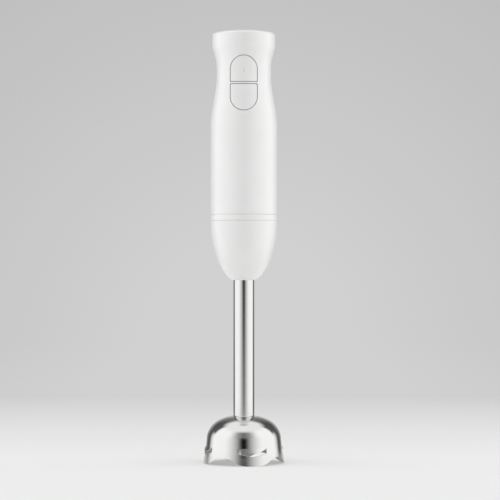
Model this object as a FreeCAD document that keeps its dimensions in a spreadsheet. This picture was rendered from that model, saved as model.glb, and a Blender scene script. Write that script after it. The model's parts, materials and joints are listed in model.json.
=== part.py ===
"""Cordless immersion blender, standing on the rim of its bell.

Units are millimetres and degrees. The origin is on the blender's axis, in the plane that the
bell stands on. +Z runs up the handle and -Y is the front, where the buttons are.
"""
import FreeCAD, Part

import math
import os
import re

import Sketcher

LEFT, RIGHT = 1, -1

SIZES = [
    # overall build-up along the axis
    ("bell_height", 41.3, "rim plane to the bell's shoulder at the tube"),
    ("tube_length", 119.3, "tube seen between the bell and the hub"),
    ("hub_length", 52.1, "tapered hub, up to the collar"),
    ("collar_height", 5.5, "lock collar with half a seam at each side"),
    ("handle_length", 161.8, "collar to the top of the dome"),
    ("seam_gap", 0.3, "gap between parts that turn or come off"),
    # handle outline
    ("grip_radius", 29.1, "straight part of the handle"),
    ("neck_radius", 23.8, "waist behind the buttons"),
    ("head_radius", 27.6, "flared head"),
    ("dome_radius", 130.0, "crown of the head"),
    ("edge_round", 2.2, "head's top edge"),
    ("head_drop", 34.0, "dome down to the waist's upper end"),
    ("neck_drop", 41.6, "dome down to the waist's lower end"),
    ("head_inner_round", 43.2, "hollow curve below the head"),
    ("head_outer_round", 15.5, "full curve into the head"),
    ("flare_slope", 9.5, "cone between waist and grip"),
    ("flare_inner_round", 55.0, "hollow curve of the flare"),
    ("flare_outer_round", 121.0, "full curve of the flare"),
    ("shell_wall", 2.4, "both handle shells"),
    ("lip_depth", 0.9, "shell's inner lip that carries the collar"),
    ("lip_height", 1.25, "the same lip's thickness"),
    ("rib_depth", 2.5, "inner rib above the coupling base"),
    ("rib_height", 2.0, "the same rib's thickness"),
    # lock collar, hub socket and spigot
    ("collar_wall", 4.5, "collar ring, outside to bore"),
    ("collar_room", 1.0, "collar bore to hub neck"),
    ("neck_wall", 2.35, "hub neck"),
    ("neck_rise", 4.7, "hub neck above the hub's shoulder"),
    ("spigot_play", 0.25, "spigot to hub socket"),
    ("base_height", 4.0, "coupling base's web"),
    ("spigot_length", 24.6, "spigot below the web"),
    ("spigot_bore", 13.0, "room for the coupling"),
    ("clip_wire", 0.7, "latch clip's wire radius"),
    ("seal_wire", 0.9, "spigot seal's section radius"),
    ("clip_gap", 8.0, "latch clip's opening, half"),
    ("relief_depth", 1.8, "collar reliefs that let the clip spread"),
    ("relief_half_width", 9.0, "the same reliefs"),
    ("motor_boss_radius", 6.3, "coupling base's bore"),
    # hub
    ("hub_upper_round", 110.0, "taper's long curve"),
    ("hub_upper_turn", 18.0, "turn of that curve"),
    ("hub_lower_round", 38.0, "curve towards the tube"),
    ("hub_edge_round", 3.0, "hub's lower edge"),
    ("hub_core_radius", 16.8, "core's lower part"),
    ("hub_core_drop", 12.0, "core's lower part, length"),
    ("hub_core_seat", 10.0, "core's flange, thickness"),
    ("socket_gap", 3.0, "core to the spigot's end"),
    ("hub_seal_rise", 5.0, "hub's lower face to the tube seal"),
    ("tube_seal_wire", 0.9, "tube seal's section radius"),
    # tube and bell
    ("tube_radius", 9.2, "outside"),
    ("tube_wall", 0.8, "drawn tube"),
    ("sleeve_length", 12.0, "bell's sleeve inside the tube"),
    ("sleeve_wall", 1.2, "the same sleeve"),
    ("bell_wall", 0.9, "pressed sheet"),
    ("skirt_radius", 32.7, "top of the skirt"),
    ("skirt_slope", 7.4, "skirt from the vertical"),
    ("bell_side_round", 20.0, "bell's side curve"),
    ("bell_top_round", 33.4, "bell's top curve"),
    ("bell_turn", 29.1, "slope where those two curves meet"),
    ("arch_rise", 7.0, "height of the arches in the rim"),
    ("foot_half_width", 2.5, "flat foot on each lobe"),
    ("lobe_turn", 13.0, "first lobe from the front"),
    ("vent_level", 15.2, "vents' straight upper edge"),
    ("vent_half_width", 13.1, "half of that edge"),
    ("vent_hood_drop", 4.0, "edge to the hood's lip"),
    ("vent_slot_side", 4.2, "upright end of the slot"),
    ("vent_slot_drop", 7.0, "edge to the middle of the slot's lower side"),
    ("hood_reach", 1.38, "straight edge to the hood's lip, outwards"),
    ("vent_crease", 0.05, "step at the straight edge"),
    ("hood_trim", 0.4, "hood left below its lip before the slot is cut"),
    # buttons
    ("button_half_width", 12.0, "opening for the buttons"),
    ("button_corner", 1.0, "rounded corners at the bar"),
    ("button_gap", 0.45, "opening to cap, all round"),
    ("button_top_drop", 23.6, "dome to the top of the upper opening"),
    ("button_bar_drop", 46.9, "dome to the top of the bar"),
    ("button_bar_height", 1.4, "bar between the openings"),
    ("button_low_drop", 72.0, "dome to the end of the lower opening"),
    ("blank_margin", 2.0, "blank beyond the surface it is cut back to"),
    ("flange_room", 0.6, "flange to the neck's inside"),
    ("flange_thickness", 1.0, "cap's flange"),
    ("flange_margin", 0.9, "flange beyond its cap"),
    ("cap_wall", 1.8, "side wall of a cap"),
    ("cap_skin", 2.2, "face of a cap"),
    ("stem_radius", 1.8, "cap's stem"),
    ("stem_length", 2.9, "back of the flange to the stem's tip"),
    ("stem_room", 1.7, "stem to its switch"),
    ("mark_half_width", 0.7, "upright mark on the upper cap"),
    ("mark_half_height", 1.8, "upright mark on the upper cap"),
    ("mark_depth", 0.5, "upright mark on the upper cap"),
    ("mark_drop", 37.0, "dome to the mark's middle"),
    ("spring_radius", 2.9, "return spring's coil"),
    ("spring_wire", 0.25, "return spring's wire radius"),
    ("spring_pitch", 1.3, "return spring's pitch"),
    # electronics
    ("guide_room", 1.8, "back of the flange to the button guide"),
    ("guide_thickness", 1.0, "button guide's plate"),
    ("guide_half_width", 13.5, "button guide's plate"),
    ("guide_end", 9.0, "a stem to the guide's end"),
    ("guide_play", 0.3, "stem in the guide"),
    ("leg_radius", 1.2, "button guide's legs, and the pegs behind the board"),
    ("leg_inset", 1.5, "switch board's edge to a leg"),
    ("leg_end", 5.0, "a stem to the nearest legs"),
    ("board_thickness", 1.6, "both circuit boards"),
    ("switch_board_half_width", 9.0, "switch board"),
    ("switch_board_end", 7.0, "a stem to the board's end"),
    ("peg_inset", 3.0, "switch board's edge to a peg"),
    ("peg_end", 4.0, "a stem to the nearest pegs"),
    ("switch_half_width", 3.0, "switch body"),
    ("switch_height", 1.6, "switch body"),
    ("plunger_radius", 1.75, "switch plunger"),
    ("plunger_height", 1.0, "switch plunger"),
    ("cell_radius", 9.15, "standard 18650 cell"),
    ("cell_length", 65.0, "standard 18650 cell"),
    ("cell_edge", 0.5, "rolled foot of a cell"),
    ("cell_neck", 0.8, "rolled neck of a cell"),
    ("contact_radius", 3.0, "raised contact of a cell"),
    ("contact_rise", 0.9, "raised contact of a cell"),
    ("cell_offset", 9.3, "axis to each cell, sideways"),
    ("cell_room", 0.3, "cells to the neck's inside"),
    ("cell_top_drop", 25.0, "dome to the top of the cells"),
    ("contact_room", 0.6, "cell to the holder's end wall"),
    ("contact_thickness", 0.3, "nickel strips"),
    ("strip_half_width", 3.0, "nickel strips"),
    ("strip_reach", 7.0, "a cell's axis to the end of its strip"),
    ("strip_lead", 5.5, "a cell's axis to the lead on its strip"),
    ("holder_wall", 2.5, "battery holder's end walls"),
    ("holder_back", 2.0, "battery holder's plate"),
    ("holder_side", 6.0, "a cell's axis to the holder's side"),
    ("holder_shelf", 4.0, "a cell's axis to the end wall's rear edge"),
    ("post_radius", 2.0, "posts under the control board"),
    ("holder_play", 0.35, "cell to the holder's plate"),
    ("board_radius", 22.0, "control board"),
    ("board_drop", 14.5, "dome to the underside of the control board"),
    ("port_half_width", 4.47, "USB-C receptacle, outside"),
    ("port_half_height", 1.6, "USB-C receptacle, outside"),
    ("port_length", 7.35, "USB-C receptacle, outside"),
    ("port_reach", 25.4, "axis to the receptacle's mouth"),
    ("port_wall", 0.3, "USB-C receptacle's shell"),
    ("port_floor", 1.0, "closed end of the receptacle"),
    ("tongue_half_width", 3.3, "receptacle's tongue"),
    ("tongue_half_height", 0.35, "receptacle's tongue"),
    ("tongue_setback", 0.8, "mouth to tongue"),
    ("port_room", 0.3, "hole in the shell round the receptacle"),
    ("cover_half_width", 7.5, "port cover's recess"),
    ("cover_half_height", 4.0, "port cover's recess"),
    ("cover_gap", 0.25, "recess to cover"),
    ("cover_seat", 25.9, "axis to the floor of the recess"),
    ("lead_radius", 0.8, "insulated leads"),
    ("lead_offset", 3.0, "axis to each motor lead, sideways"),
    ("lead_start", 12.0, "axis to the motor's terminals, forwards"),
    ("lead_run", 5.5, "axis to the leads behind the switch board"),
    ("lead_bend", 8.0, "bends in the leads"),
    ("terminal_rise", 2.2, "motor terminals above the end cap"),
    # motor
    ("motor_radius", 17.8, "motor can"),
    ("motor_wall", 1.0, "motor can"),
    ("motor_length", 53.0, "motor can, without its cap"),
    ("motor_seat", 0.2, "coupling base to motor"),
    ("cap_height", 4.0, "motor's end cap"),
    ("cap_lip", 1.0, "end cap's bevel, and its lip over the bearing"),
    ("cap_sink", 2.0, "end cap inside the can"),
    ("terminal_half_width", 1.2, "motor terminals"),
    ("terminal_half_depth", 0.4, "motor terminals"),
    ("magnet_thickness", 3.6, "magnet arcs"),
    ("magnet_margin", 2.0, "magnets beyond the core"),
    ("air_gap", 0.7, "armature to magnets"),
    ("armature_length", 30.0, "laminated core"),
    ("armature_lift", 10.0, "can's floor to the core"),
    ("slot_half_width", 0.9, "slots in the core"),
    ("slot_depth", 5.0, "slots in the core"),
    ("shaft_radius", 2.0, "motor shaft"),
    ("running_play", 0.05, "shafts in their bearings"),
    ("bearing_radius", 6.0, "motor bearings"),
    ("bearing_height", 3.0, "motor bearings"),
    ("commutator_radius", 4.2, "commutator"),
    ("commutator_length", 6.0, "commutator"),
    ("commutator_lift", 4.0, "core to the commutator"),
    ("bar_gap", 0.2, "gaps between the commutator's bars, half"),
    ("bar_depth", 0.6, "gaps between the commutator's bars"),
    ("brush_half_width", 1.8, "brushes"),
    ("brush_play", 0.1, "commutator to brush"),
    ("brush_inset", 4.0, "can's wall to the back of a brush"),
    ("brush_low", 1.0, "commutator's foot to the brushes"),
    ("brush_high", 2.0, "brushes to the end cap"),
    ("winding_height", 3.5, "windings beyond the core"),
    ("winding_inset", 1.5, "core's edge to the windings"),
    ("winding_room", 1.0, "commutator to the windings"),
    ("shaft_tail", 1.0, "motor shaft above its end cap"),
    ("motor_screw_offset", 9.5, "axis to the motor screws"),
    ("damper_lift", 38.0, "can's floor to the rubber ring"),
    ("damper_height", 6.0, "rubber ring"),
    ("damper_hole", 2.6, "holes in the rubber ring"),
    ("screw_radius", 1.3, "case screws, thread"),
    ("screw_head_radius", 2.4, "case screws, head"),
    ("screw_head_height", 1.8, "case screws, head"),
    ("screw_length", 14.0, "case screws, thread"),
    ("boss_radius", 3.4, "screw bosses"),
    ("boss_room", 0.25, "cells to bosses"),
    ("head_seat", 4.6, "parting plane to the screw heads' seat"),
    ("boss_low_rise", 18.0, "collar to the lower screws"),
    ("boss_mid_rise", 72.0, "collar to the middle screws"),
    ("boss_high_drop", 8.9, "dome to the upper screws"),
    ("plug_seat", 4.0, "surface to the inner end of a screw plug"),
    ("recess_ratio", 2.4, "screw head's radius to its recess's"),
    # drive inside the attachment
    ("drive_radius", 2.5, "drive shaft"),
    ("bush_length", 9.0, "sintered bushes"),
    ("upper_bush_radius", 6.0, "bush in the hub's core"),
    ("dog_radius", 8.5, "driven half of the coupling"),
    ("dog_height", 11.2, "driven half of the coupling"),
    ("dog_socket", 6.4, "hexagon socket, across corners, half"),
    ("dog_play", 0.35, "hexagon to its socket"),
    ("dog_overlap", 6.5, "hexagon inside its socket"),
    ("dog_floor", 0.6, "hexagon's end to the socket's floor"),
    ("hexagon_clear", 1.0, "round part over the hexagon to the driven half"),
    ("hexagon_floor", 0.5, "driven half to the motor shaft's end"),
    ("hexagon_collar", 7.0, "round part over the hexagon"),
    ("steady_hole", 1.6, "holes in the steady"),
    ("steady_hole_offset", 5.5, "axis to those holes"),
    ("guard_hub_radius", 9.6, "bearing carrier in the bell, top"),
    ("guard_hub_end", 7.2, "bearing carrier in the bell, lower end"),
    ("guard_hub_level", 22.0, "bearing carrier's lower end"),
    ("seal_radius", 5.0, "shaft seal"),
    ("seal_height", 6.0, "shaft seal"),
    ("blade_level", 11.5, "underside of the blade's plate"),
    ("blade_thickness", 1.4, "blade"),
    ("blade_reach", 24.0, "axis to the blade's tips"),
    ("blade_rise", 4.0, "how far the tips are bent up and down"),
    ("blade_flat", 7.0, "flat middle of the blade, half"),
    ("blade_half_width", 6.0, "blade's middle"),
    ("blade_tip_low", 2.0, "tip's leading corner"),
    ("blade_tip_high", 4.6, "tip's trailing corner"),
    ("nut_radius", 4.6, "blade nut, across corners, half"),
    ("nut_height", 4.5, "blade nut"),
    ("spacer_radius", 4.0, "sleeve between blade and seal"),
]

DERIVED = {
    "hub_bottom": "bell_height + tube_length",
    "hub_top": "hub_bottom + hub_length",
    "collar_top": "hub_top + collar_height",
    "handle_top": "collar_top + handle_length",
    "shell_base": "collar_top + seam_gap / 2",
    "shell_bore": "grip_radius - shell_wall",
    # handle outline, upwards
    "flare_high_radius": "neck_radius + flare_inner_round * (1 - cos(flare_slope))",
    "flare_high": "neck_low - flare_inner_round * sin(flare_slope)",
    "flare_low_radius": "grip_radius - flare_outer_round * (1 - cos(flare_slope))",
    "flare_low": "flare_high - (flare_low_radius - flare_high_radius) / tan(flare_slope)",
    "flare_bottom": "flare_low - flare_outer_round * sin(flare_slope)",
    "neck_low": "handle_top - neck_drop",
    "neck_top": "handle_top - head_drop",
    "head_turn": "acos(1 - (head_radius - neck_radius) / (head_inner_round + head_outer_round))",
    "head_mid_radius": "neck_radius + head_inner_round * (1 - cos(head_turn))",
    "head_mid": "neck_top + head_inner_round * sin(head_turn)",
    "head_level": "neck_top + (head_inner_round + head_outer_round) * sin(head_turn)",
    "dome_turn": "asin((head_radius - edge_round) / (dome_radius - edge_round))",
    "edge_level": "handle_top - dome_radius + (dome_radius - edge_round) * cos(dome_turn)",
    "dome_rim_radius": "head_radius - edge_round + edge_round * sin(dome_turn)",
    "dome_rim": "edge_level + edge_round * cos(dome_turn)",
    "head_bore": "head_radius - shell_wall",
    "ceiling": "handle_top - shell_wall - dome_radius + sqrt(dome_radius^2 - head_bore^2)",
    # inside the foot of the shells
    "lip_radius": "shell_bore - lip_depth",
    "lip_top": "shell_base + lip_height",
    "collar_flange_base": "lip_top + seam_gap",
    "collar_flange_top": "collar_flange_base + lip_height",
    "web_base": "collar_flange_top + seam_gap + 0.2",
    "web_top": "web_base + base_height",
    "rib_base": "web_top + seam_gap",
    "rib_top": "rib_base + rib_height",
    "rib_radius": "shell_bore - rib_depth",
    # collar, neck and spigot
    "collar_bore": "grip_radius - collar_wall",
    "neck_outer": "collar_bore - collar_room",
    "socket_radius": "neck_outer - neck_wall",
    "spigot_radius": "socket_radius - spigot_play",
    "neck_end": "hub_top - seam_gap / 2 + neck_rise",
    "clip_level": "neck_end - 2 * clip_wire",
    "spigot_end": "web_base - spigot_length",
    "spigot_seal_level": "spigot_end + 5 * seal_wire",
    "core_top": "spigot_end - socket_gap",
    "core_step": "core_top - hub_core_seat",
    "core_base": "core_step - hub_core_drop",
    # hub outline
    "hub_shoulder": "hub_top - seam_gap / 2",
    "hub_mid_radius": "grip_radius - hub_upper_round * (1 - cos(hub_upper_turn))",
    "hub_mid": "hub_shoulder - hub_upper_round * sin(hub_upper_turn)",
    "hub_centre_radius": "hub_mid_radius - hub_lower_round * cos(hub_upper_turn)",
    "hub_centre": "hub_mid + hub_lower_round * sin(hub_upper_turn)",
    "hub_end_radius": "hub_centre_radius + sqrt(hub_lower_round^2 - (hub_centre - hub_bottom)^2)",
    "tube_bore": "tube_radius - tube_wall",
    # bell outline
    "side_centre_radius": "skirt_radius - bell_side_round * cos(skirt_slope)",
    "top_centre_radius": "side_centre_radius - (bell_top_round - bell_side_round) * sin(bell_turn)",
    "top_centre": "bell_height - sqrt(bell_top_round^2 - (tube_radius - top_centre_radius)^2)",
    "side_centre": "top_centre + (bell_top_round - bell_side_round) * cos(bell_turn)",
    "skirt_level": "side_centre + bell_side_round * sin(skirt_slope)",
    "rim_radius": "skirt_radius + skirt_level * tan(skirt_slope)",
    "vent_lip_radius": "vent_radius + hood_reach",
    "vent_radius": "skirt_radius + (skirt_level - vent_level) * tan(skirt_slope)",
    # buttons
    "button_top": "handle_top - button_top_drop",
    "bar_top": "handle_top - button_bar_drop",
    "bar_bottom": "bar_top - button_bar_height",
    "button_low": "handle_top - button_low_drop",
    "high_centre": "(bar_top + button_top) / 2",
    "low_centre": "(bar_bottom + button_low) / 2",
    "spring_room": "neck_radius - cap_skin - guide_reach",
    # electronics
    "cell_top": "handle_top - cell_top_drop",
    "cell_base": "cell_top - cell_length",
    "neck_bore": "neck_radius - shell_wall",
    "flange_half_width": "button_half_width - button_gap + flange_margin",
    "flange_reach": "sqrt(neck_bore^2 - flange_half_width^2) - flange_thickness - flange_room",
    "guide_reach": "flange_reach - guide_room",
    "stem_reach": "flange_reach - stem_length",
    "switch_reach": "stem_reach - stem_room - plunger_height - switch_height",
    "cell_setback": "sqrt((neck_bore - cell_room - cell_radius)^2 - cell_offset^2)",
    "holder_front": "cell_radius - cell_setback + holder_play",
    "holder_top": "cell_top + contact_room",
    "holder_base": "cell_base - contact_room",
    "lead_base": "motor_top + cap_height + terminal_rise",
    "lead_turn": "acos(1 - (lead_start - lead_run) / (2 * lead_bend))",
    "lead_middle": "lead_base + 2 + lead_bend * sin(lead_turn)",
    "lead_level": "lead_base + 2 + 2 * lead_bend * sin(lead_turn)",
    "board_base": "handle_top - board_drop",
    "board_top": "board_base + board_thickness",
    "port_level": "board_top + port_half_height",
    # motor and case screws
    "motor_base": "web_top + motor_seat",
    "motor_top": "motor_base + motor_length",
    "magnet_radius": "motor_radius - motor_wall",
    "armature_radius": "magnet_radius - magnet_thickness - air_gap",
    "armature_base": "motor_base + armature_lift",
    "armature_top": "armature_base + armature_length",
    "commutator_base": "armature_top + commutator_lift",
    "boss_offset": "cell_offset + cell_radius + boss_radius + boss_room",
    "boss_low": "collar_top + boss_low_rise",
    "boss_mid": "collar_top + boss_mid_rise",
    "boss_high": "handle_top - boss_high_drop",
    # drive
    "dog_base": "core_top + 0.8",
    "dog_top": "dog_base + dog_height",
    "hexagon_end": "dog_top - dog_overlap",
    "bell_underside": "bell_height - bell_wall",
}

doc = FreeCAD.newDocument("immersion_blender")
sheet = doc.addObject("Spreadsheet::Sheet", "Sizes")
for row, (alias, size, note) in enumerate(SIZES, start=1):
    sheet.set(f"A{row}", note)
    sheet.set(f"B{row}", str(size))
    sheet.setAlias(f"B{row}", alias)
doc.recompute()
ALIASES = {alias for alias, size, note in SIZES}
nodes = []


# ---------------------------------------------------------------- formulas and sketches

def formula(text):
    """A formula of size names, spelled as an expression on the sheet."""

    def spell(match):
        word = match.group(0)
        if word in DERIVED:
            return f"({formula(DERIVED[word])})"
        return f"Sizes.{word}" if word in ALIASES else word

    return re.sub(r"[a-z][a-z_0-9]*", spell, text)


def value(text):
    return float(sheet.evalExpression(formula(text)))


def new_body(name):
    body = doc.addObject("PartDesign::Body", name)
    body.Label = name
    nodes.append(body)
    return body


def place(body, x="0", y="0", z="0", turn=None):
    """Put a body at a place worked out from the sizes; turn is (axis, degrees)."""
    if turn:
        body.Placement = FreeCAD.Placement(FreeCAD.Vector(), FreeCAD.Rotation(*turn))
    for axis, place_text in zip("xyz", (x, y, z)):
        body.setExpression(f"Placement.Base.{axis}", formula(place_text))


def sketch_on(body, plane, level="0"):
    """An empty sketch, level millimetres along the plane's own normal (XZ faces the front)."""
    sketch = body.newObject("Sketcher::SketchObject", f"{body.Label}_sketch")
    support = [f for f in body.Origin.OriginFeatures if f.Role == f"{plane}_Plane"][0]
    sketch.AttachmentSupport = [(support, "")]
    sketch.MapMode = "FlatFace"
    sketch.setExpression("AttachmentOffset.Base.z", formula(level))
    return sketch


def pin_point(sketch, line, end, x, y):
    """Fix one point of a sketch with two dimensions from the origin."""
    for kind, text in (("DistanceX", x), ("DistanceY", y)):
        number = sketch.addConstraint(Sketcher.Constraint(kind, -1, 1, line, end, value(text)))
        sketch.setExpression(f"Constraints[{number}]", formula(text))


def draw_edge(sketch, start, stop):
    """A line from one corner to the next, or an arc if the first has (radius, turn)."""
    first = FreeCAD.Vector(value(start[0]), value(start[1]), 0)
    last = FreeCAD.Vector(value(stop[0]), value(stop[1]), 0)
    if len(start) == 2:
        return sketch.addGeometry(Part.LineSegment(first, last), False), (1, 2)
    radius, turn = value(start[2]), start[3]
    chord = last - first
    rise = math.sqrt(radius**2 - (chord.Length / 2) ** 2)
    centre = (first + last) / 2 + FreeCAD.Vector(-chord.y, chord.x, 0).normalize() * rise * turn
    if turn == RIGHT:
        first, last = last, first
    angles = [math.atan2(point.y - centre.y, point.x - centre.x) for point in (first, last)]
    whole = Part.Circle(centre, FreeCAD.Vector(0, 0, 1), radius)
    line = sketch.addGeometry(Part.ArcOfCircle(whole, *angles), False)
    number = sketch.addConstraint(Sketcher.Constraint("Radius", line, radius))
    sketch.setExpression(f"Constraints[{number}]", formula(start[2]))
    return line, (1, 2) if turn == LEFT else (2, 1)


def outline(sketch, corners):
    """A closed outline of (x, y) corners; (x, y, radius, turn) starts an arc to the next one."""
    edges = [draw_edge(sketch, corner, after)
             for corner, after in zip(corners, corners[1:] + corners[:1])]
    for corner, (line, ends), (after, next_ends) in zip(corners, edges, edges[1:] + edges[:1]):
        joint = (line, ends[1], after, next_ends[0])
        sketch.addConstraint(Sketcher.Constraint("Coincident", *joint))
        pin_point(sketch, line, ends[0], corner[0], corner[1])


def draw_path(sketch, path):
    """An open path of points; (x, y, radius, turn) starts an arc to the next one."""
    for start, stop in zip(path, path[1:]):
        line, ends = draw_edge(sketch, start, stop)
        pin_point(sketch, line, ends[0], start[0], start[1])
        pin_point(sketch, line, ends[1], stop[0], stop[1])


def circle(sketch, x, y, radius):
    centre = FreeCAD.Vector(value(x), value(y), 0)
    line = sketch.addGeometry(Part.Circle(centre, FreeCAD.Vector(0, 0, 1), value(radius)), False)
    number = sketch.addConstraint(Sketcher.Constraint("Radius", line, value(radius)))
    sketch.setExpression(f"Constraints[{number}]", formula(radius))
    pin_point(sketch, line, 3, x, y)


def box_corners(left, right, low, high):
    return [(left, low), (right, low), (right, high), (left, high)]


def hexagon_corners(radius):
    return [(f"({radius}) * cos({a})", f"({radius}) * sin({a})") for a in range(0, 360, 60)]


def moved(path, shift):
    """The same path with shift taken off every radius."""
    return [(f"{corner[0]} - ({shift})",) + corner[1:] for corner in path]


def backwards(path):
    """The same path walked the other way, so every arc turns the other way."""
    walked = []
    for number in range(len(path) - 1, -1, -1):
        arc = path[number - 1][2:] if number else ()
        walked.append(path[number][:2] + ((arc[0], -arc[1]) if arc else ()))
    return walked


# ---------------------------------------------------------------- features

def revolve(body, sketch, angle=360, reverse=False, cut=False, axis="V_Axis"):
    kind = "Groove" if cut else "Revolution"
    feature = body.newObject(f"PartDesign::{kind}", f"{body.Label}_{kind.lower()}")
    feature.Profile = sketch
    feature.ReferenceAxis = (sketch, [axis])
    feature.Angle = angle
    feature.Reversed = reverse
    return checked(body, feature, cut)


def extrude(body, sketch, length=None, reverse=False, cut=False, midplane=False):
    """A pad, or a pocket; with no length it runs through all. Reverse turns it round."""
    kind = "Pocket" if cut else "Pad"
    feature = body.newObject(f"PartDesign::{kind}", f"{body.Label}_{kind.lower()}")
    feature.Profile = sketch
    feature.Reversed = reverse
    feature.Midplane = midplane
    if length is None:
        feature.Type = "ThroughAll"
    else:
        feature.setExpression("Length", formula(length))
    return checked(body, feature, cut)


def polar(body, features, count):
    """Repeat features round the body's own vertical axis."""
    pattern = body.newObject("PartDesign::PolarPattern", f"{body.Label}_pattern")
    pattern.Originals = features
    vertical = [f for f in body.Origin.OriginFeatures if f.Role == "Z_Axis"][0]
    pattern.Axis = (vertical, [""])
    pattern.Angle = 360
    pattern.Occurrences = count
    body.Tip = pattern
    doc.recompute()
    return pattern


def checked(body, feature, cut):
    """Recompute, and stop if a cut took nothing away."""
    doc.recompute()
    if cut and feature.Shape.Volume > feature.BaseFeature.Shape.Volume - 1e-6:
        raise RuntimeError(f"{feature.Name} cuts nothing")
    return feature


def turned(name, corners):
    """A round piece: one outline of (radius, height) corners, turned about the axis."""
    body = new_body(name)
    sketch = sketch_on(body, "XZ")
    outline(sketch, corners)
    revolve(body, sketch)
    return body


def ring(name, inner, outer, low, high):
    return turned(name, box_corners(inner, outer, low, high))


def add_block(body, plane, level, corners, length):
    """Add a prism that stands on a plane and runs along the plane's normal."""
    sketch = sketch_on(body, plane, level)
    outline(sketch, corners)
    return extrude(body, sketch, length)


def cut_outline(body, plane, level, corners, length=None, forwards=True):
    """Cut a prism, along the plane's normal if forwards."""
    sketch = sketch_on(body, plane, level)
    outline(sketch, corners)
    return extrude(body, sketch, length, reverse=forwards, cut=True)


def add_pins(body, plane, level, radius, centres, length):
    sketch = sketch_on(body, plane, level)
    for x, y in centres:
        circle(sketch, x, y, radius)
    return extrude(body, sketch, length)


def cut_holes(body, plane, level, radius, centres, length=None, forwards=True):
    sketch = sketch_on(body, plane, level)
    for x, y in centres:
        circle(sketch, x, y, radius)
    return extrude(body, sketch, length, reverse=forwards, cut=True)


# ---------------------------------------------------------------- shared outlines

HANDLE_SIDE = [
    ("grip_radius", "flare_bottom", "flare_outer_round", LEFT),
    ("flare_low_radius", "flare_low"),
    ("flare_high_radius", "flare_high", "flare_inner_round", RIGHT),
    ("neck_radius", "neck_low"),
    ("neck_radius", "neck_top", "head_inner_round", RIGHT),
    ("head_mid_radius", "head_mid", "head_outer_round", LEFT),
    ("head_radius", "head_level"),
]


def half_capsule(upper, shrink="0"):
    """One button's outline: flat at the bar, round at the far end, shrunk all round."""
    up = 1 if upper else -1
    base, tip = ("bar_top", "button_top") if upper else ("bar_bottom", "button_low")
    width = f"(button_half_width - ({shrink}))"
    foot = f"({base} + {up} * ({shrink}))"
    heel = f"({foot} + {up} * button_corner)"
    shoulder = f"({tip} - {up} * button_half_width)"
    flat, side = f"{up} * ({width} - button_corner)", f"{up} * {width}"
    return [
        (f"-({flat})", foot), (flat, foot, "button_corner", LEFT), (side, heel),
        (side, shoulder, width, LEFT), ("0", f"{tip} - {up} * ({shrink})", width, LEFT),
        (f"-({side})", shoulder), (f"-({side})", heel, "button_corner", LEFT),
    ]


def stadium(half_width, half_height, middle):
    """A flat-topped slot with round ends, for the charging port and its cover."""
    inner = f"({half_width} - ({half_height}))"
    low, high = f"{middle} - ({half_height})", f"{middle} + ({half_height})"
    return [
        (f"-{inner}", low), (inner, low, half_height, LEFT),
        (half_width, middle, half_height, LEFT), (inner, high),
        (f"-{inner}", high, half_height, LEFT), (f"-({half_width})", middle, half_height, LEFT),
    ]


def trim_to_handle(body):
    """Cut away all that stands outside the handle's own outline."""
    sketch = sketch_on(body, "XZ")
    far = "2 * head_radius"
    outline(sketch, [("grip_radius", "shell_base")] + HANDLE_SIDE + [
        ("head_radius", "edge_level"), (far, "edge_level"), (far, "shell_base"),
    ])
    revolve(body, sketch, cut=True)


# ---------------------------------------------------------------- handle shells

GRIP_BOSSES = [(side + "boss_offset", level)
               for level in ("boss_low", "boss_mid") for side in ("-", "")]
HEAD_BOSSES = [(side + "boss_offset", "boss_high") for side in ("-", "")]


def shell_half(name, front):
    """One clamshell half, with its screw bosses."""
    w = "shell_wall"
    body = new_body(name)
    sketch = sketch_on(body, "XZ")
    outside = [("lip_radius", "shell_base"), ("grip_radius", "shell_base")] + HANDLE_SIDE
    crown = [
        ("head_radius", "edge_level", "edge_round", LEFT),
        ("dome_rim_radius", "dome_rim", "dome_radius", LEFT),
        ("0", "handle_top"),
        ("0", "handle_top - shell_wall", "dome_radius", RIGHT),
        ("head_bore", "ceiling"),
    ]
    inside = backwards(moved(HANDLE_SIDE, w)) + [
        ("shell_bore", "rib_top"), ("rib_radius", "rib_top"),
        ("rib_radius", "rib_base"), ("shell_bore", "rib_base"),
        ("shell_bore", "lip_top"), ("lip_radius", "lip_top"),
    ]
    outline(sketch, outside + crown + inside)
    revolve(body, sketch, angle=180, reverse=front)
    side = "boss_offset + boss_radius"
    for bosses, radius in ((GRIP_BOSSES, "grip_radius"), (HEAD_BOSSES, "head_radius")):
        length = f"sqrt(({radius})^2 - ({side})^2) - 0.2"
        pins = sketch_on(body, "XZ")
        for x, z in bosses:
            circle(pins, x, z, "boss_radius")
        extrude(body, pins, length, reverse=not front)
    return body


def front_shell():
    body = shell_half("front_shell", front=True)
    thread = "screw_length - head_seat"
    cut_holes(body, "XZ", "0", "screw_radius", GRIP_BOSSES + HEAD_BOSSES, thread)
    for upper in (True, False):
        cut_outline(body, "XZ", "0", half_capsule(upper))


def rear_shell():
    body = shell_half("rear_shell", front=False)
    holes = GRIP_BOSSES + HEAD_BOSSES
    cut_holes(body, "XZ", "0", "screw_radius", holes, forwards=False)
    cut_holes(body, "XZ", "-head_seat", "screw_head_radius + 0.1", holes, forwards=False)
    hole = stadium("port_half_width + port_room", "port_half_height + port_room", "port_level")
    cut_outline(body, "XZ", "0", hole, forwards=False)
    recess = stadium("cover_half_width", "cover_half_height", "port_level")
    cut_outline(body, "XZ", "-cover_seat", recess, forwards=False)


def shell_screws():
    """Six self-tapping screws that draw the rear shell onto the front one."""
    holes = GRIP_BOSSES + HEAD_BOSSES
    body = new_body("shell_screws")
    add_pins(body, "XZ", "-head_seat", "screw_radius", holes, "screw_length")
    add_pins(body, "XZ", "-(head_seat + screw_head_height)", "screw_head_radius", holes,
             "screw_head_height")
    cut_holes(body, "XZ", "-(head_seat + screw_head_height)", "screw_head_radius / recess_ratio", holes,
              "screw_head_height / 2")


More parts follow.
